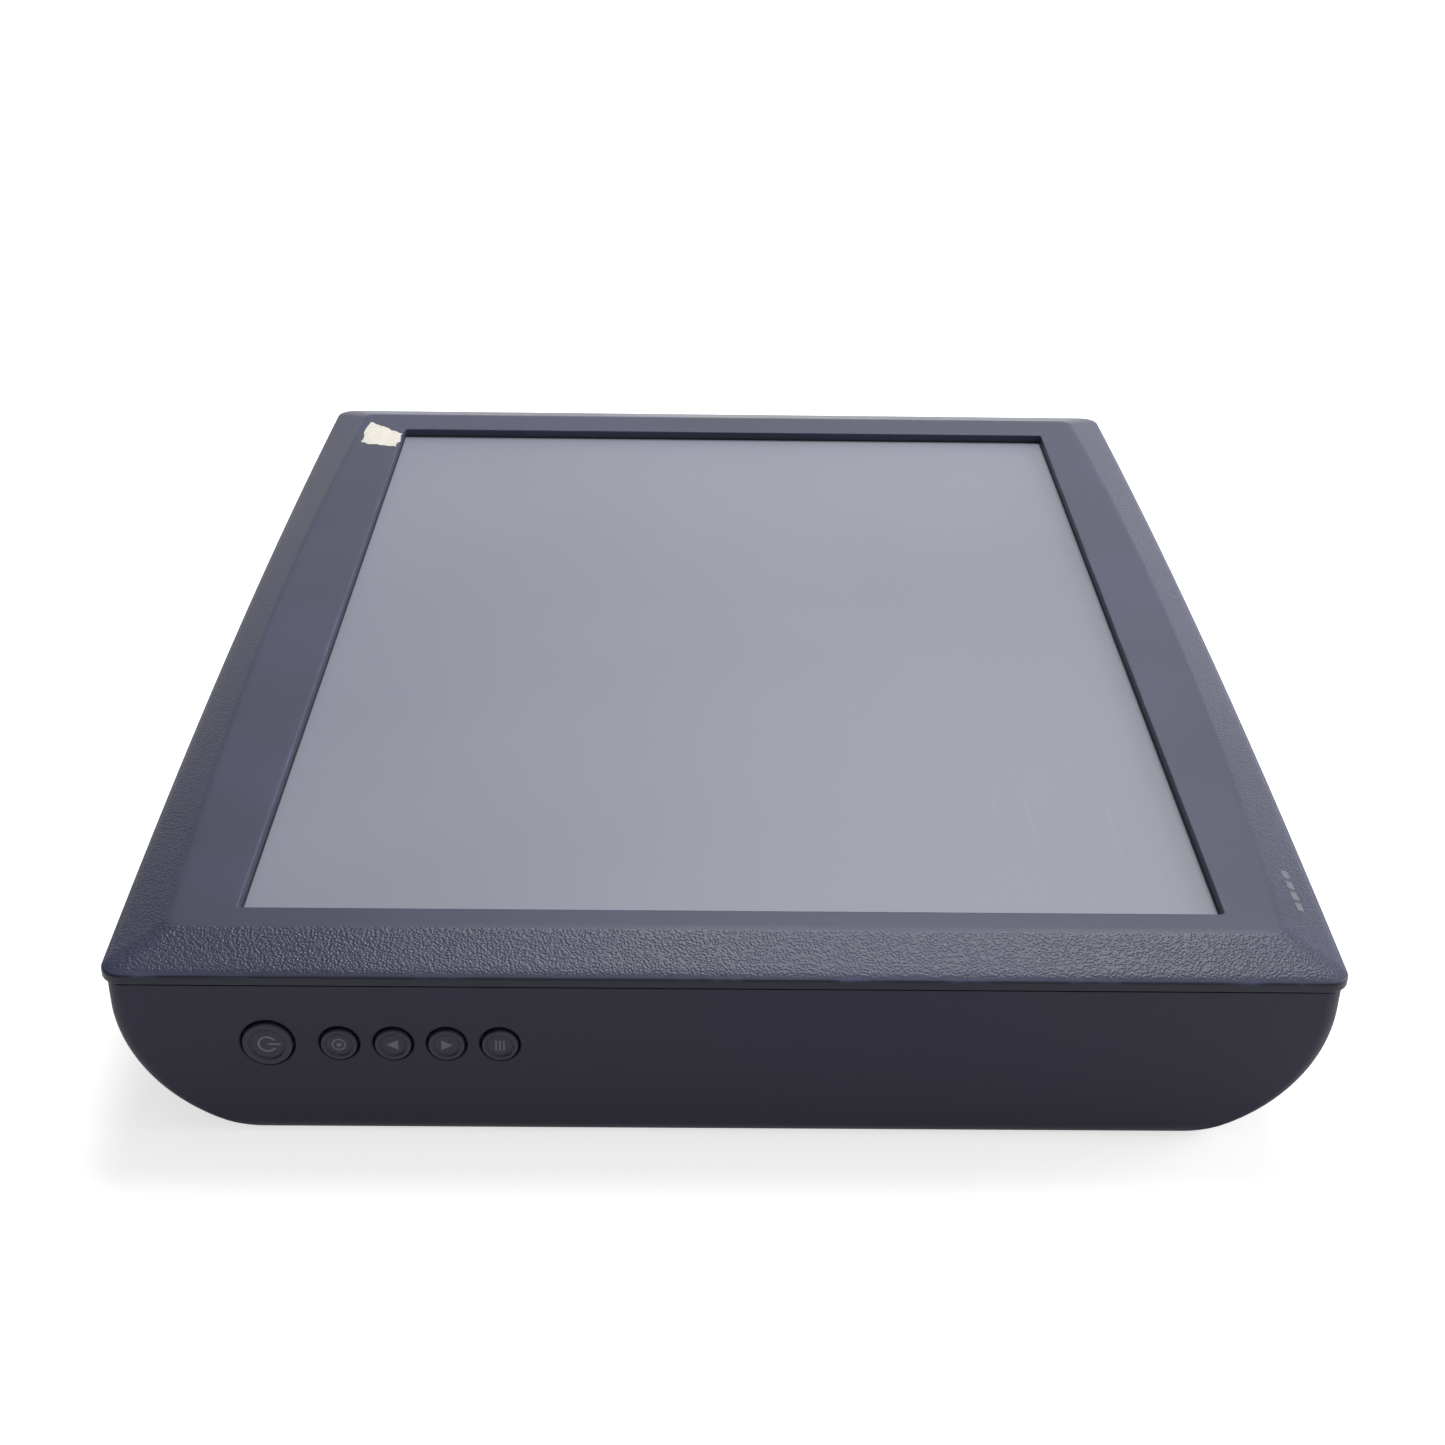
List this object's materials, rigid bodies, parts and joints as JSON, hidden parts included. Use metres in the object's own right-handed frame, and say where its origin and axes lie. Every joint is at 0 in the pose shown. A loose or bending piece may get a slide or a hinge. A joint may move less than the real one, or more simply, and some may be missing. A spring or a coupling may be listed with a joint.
{
  "type": "pos touchscreen terminal",
  "caption": "Point-of-sale touchscreen display head in a charcoal case, lying on its back, with push buttons along one short side and a screw mount in the back.",
  "frame": {"origin": "middle of the back's resting face, under the middle of the case", "axes": "+Z out of the screen, +Y along the long side away from the buttons, +X towards the display's top edge"},
  "size_m": [0.289, 0.358, 0.05],
  "materials": {
    "bezel_plastic": "pebbled moulded charcoal plastic",
    "shell_plastic": "fine spark-eroded moulded charcoal plastic",
    "key_plastic": "smooth satin moulded plastic with pad-printed symbols",
    "screen_glass": "anti-glare etched touch glass",
    "seal_foam": "black foam gasket",
    "tape": "double-sided spacer tape",
    "panel_steel": "folded steel sheet",
    "cell_glass": "liquid crystal cell, unlit",
    "film": "diffuser and prism films",
    "guide_acrylic": "clear acrylic light guide",
    "tray_plastic": "white moulded tray",
    "lamp_glass": "cold-cathode lamp tube",
    "mirror_foil": "mirror foil",
    "holder_rubber": "white silicone rubber",
    "chassis_steel": "zinc-plated steel sheet",
    "bracket_steel": "zinc-plated steel sheet, 2 mm",
    "nut_steel": "plated clinch nuts",
    "screw_steel": "black zinc screws",
    "board_green": "solder-masked circuit board",
    "brass": "nickelled brass",
    "chip_black": "moulded chip packages",
    "coil_yellow": "taped transformer windings",
    "socket_shell": "nickel-plated socket shells",
    "jack_black": "moulded socket body",
    "switch_body": "tact switch bodies",
    "guide_plastic": "moulded guide strip",
    "plug_white": "nylon plug housings",
    "cable_black": "sleeved cable",
    "lead_white": "silicone lamp lead",
    "tail_film": "polyimide flat tail"
  },
  "bodies": {
    "housing": {"front_bezel": "bezel_plastic", "rear_cover": "shell_plastic", "touch_glass": "screen_glass", "touch_gasket": "seal_foam", "spacer_tape": "tape", "panel_frame": "panel_steel", "display_cell": "cell_glass", "diffuser_films": "film", "light_guide": "guide_acrylic", "mirror_sheet": "mirror_foil", "panel_tray": "tray_plastic", "backlight_lamps": "lamp_glass", "lamp_mirrors": "mirror_foil", "lamp_holders": "holder_rubber", "chassis": "chassis_steel", "mount_bracket": "bracket_steel", "mount_nuts": "nut_steel", "case_screws": "screw_steel", "chassis_screws": "screw_steel", "bracket_screws": "screw_steel", "board_screws": "screw_steel", "main_board": "board_green", "lamp_board": "board_green", "touch_board": "board_green", "board_pillars": "brass", "main_board_chips": "chip_black", "lamp_board_coils": "coil_yellow", "side_board_chips": "chip_black", "video_socket": "socket_shell", "serial_socket": "socket_shell", "usb_socket": "socket_shell", "power_jack": "jack_black", "key_guide": "guide_plastic", "key_board": "board_green", "key_switches": "switch_body", "key_screws": "screw_steel", "board_plugs": "plug_white", "panel_socket": "plug_white", "panel_cable": "cable_black", "key_cable": "cable_black", "lamp_leads": "lead_white", "touch_tail": "tail_film"},
    "power_button": {"power_key": "key_plastic", "power_plunger": "switch_body"},
    "select_button": {"select_key": "key_plastic", "select_plunger": "switch_body"},
    "down_button": {"down_key": "key_plastic", "down_plunger": "switch_body"},
    "up_button": {"up_key": "key_plastic", "up_plunger": "switch_body"},
    "menu_button": {"menu_key": "key_plastic", "menu_plunger": "switch_body"}
  },
  "joints": [
    {"name": "power_press", "type": "slide", "parent": "housing", "child": "power_button", "axis": [0, 1, 0], "range_m": [0, 0.0008], "stiffness_N_per_m": 1500},
    {"name": "select_press", "type": "slide", "parent": "housing", "child": "select_button", "axis": [0, 1, 0], "range_m": [0, 0.0008], "stiffness_N_per_m": 1500},
    {"name": "down_press", "type": "slide", "parent": "housing", "child": "down_button", "axis": [0, 1, 0], "range_m": [0, 0.0008], "stiffness_N_per_m": 1500},
    {"name": "up_press", "type": "slide", "parent": "housing", "child": "up_button", "axis": [0, 1, 0], "range_m": [0, 0.0008], "stiffness_N_per_m": 1500},
    {"name": "menu_press", "type": "slide", "parent": "housing", "child": "menu_button", "axis": [0, 1, 0], "range_m": [0, 0.0008], "stiffness_N_per_m": 1500}
  ]
}
